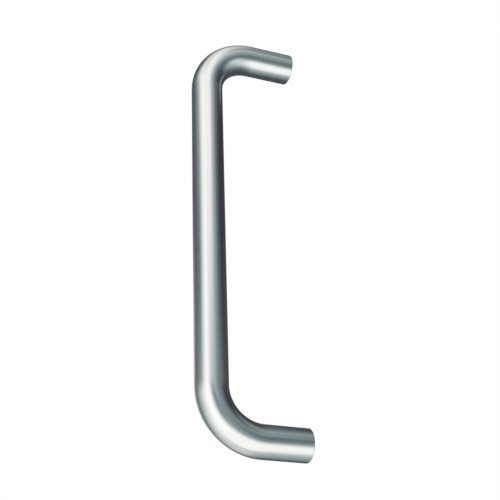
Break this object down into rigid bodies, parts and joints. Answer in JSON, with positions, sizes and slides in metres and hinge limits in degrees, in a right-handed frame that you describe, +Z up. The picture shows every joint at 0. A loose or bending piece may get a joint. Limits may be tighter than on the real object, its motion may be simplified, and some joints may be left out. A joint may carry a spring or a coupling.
{
  "type": "door pull handle",
  "caption": "D-shaped pull handle of bent round stainless tube with a satin finish, its square-cut feet tapped inside for bolts through a door.",
  "frame": {"origin": "on the door's face, midway between the two fixing holes", "axes": "+Z up along the grip, +Y into the door along the fixing bolts, the handle stands out towards -Y"},
  "size_m": [0.019, 0.065, 0.269],
  "materials": {
    "satin_stainless": "satin, fine polishing lines round the tube",
    "turned_steel": "plain turned"
  },
  "bodies": {
    "root": {"bent_tube": "satin_stainless", "upper_threaded_insert": "turned_steel", "lower_threaded_insert": "turned_steel"}
  },
  "joints": []
}
